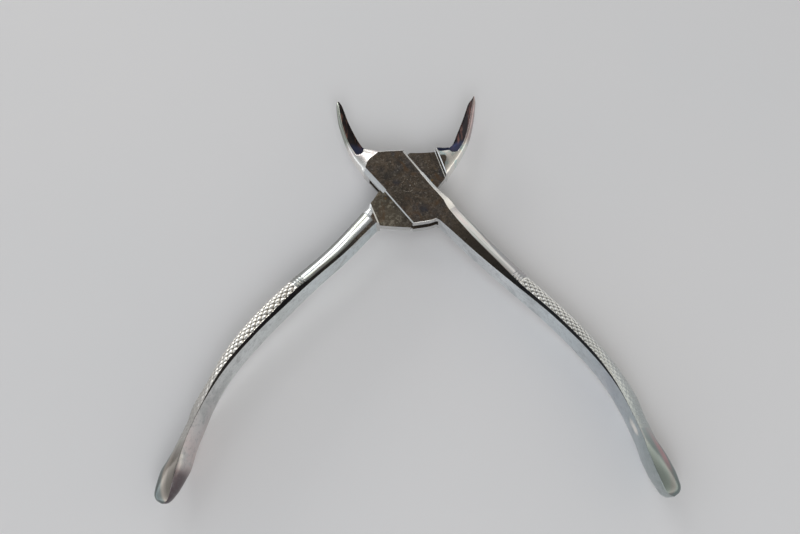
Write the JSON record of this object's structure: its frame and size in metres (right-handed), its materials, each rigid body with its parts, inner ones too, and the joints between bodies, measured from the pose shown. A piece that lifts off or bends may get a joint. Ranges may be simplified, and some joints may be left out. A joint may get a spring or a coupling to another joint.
{
  "type": "nail nipper",
  "caption": "Box-joint nail nipper: crossed steel halves with curved cutting jaws and long knurled handles turn on a flush pivot pin.",
  "frame": {"origin": "on the pivot axis, in the rear ground flat of the box", "axes": "+Z along the pivot axis, out of the front face; +Y towards the jaws; +X to the side of the female handle"},
  "size_m": [0.1394, 0.1204, 0.0136],
  "materials": {
    "female_steel": "worn polished nickel plate, satin on the box plates",
    "male_steel": "worn polished nickel plate, satin on the tongue",
    "pin_steel": "ground flush with the plates, tarnished"
  },
  "bodies": {
    "female": {"female_half": "female_steel", "pivot_pin": "pin_steel"},
    "male": {"male_half": "male_steel"}
  },
  "joints": [
    {"name": "pivot", "type": "hinge", "parent": "female", "child": "male", "pos_m": [0, 0, 0.0033], "axis": [0, 0, 1], "range_deg": [-10, 68]}
  ]
}
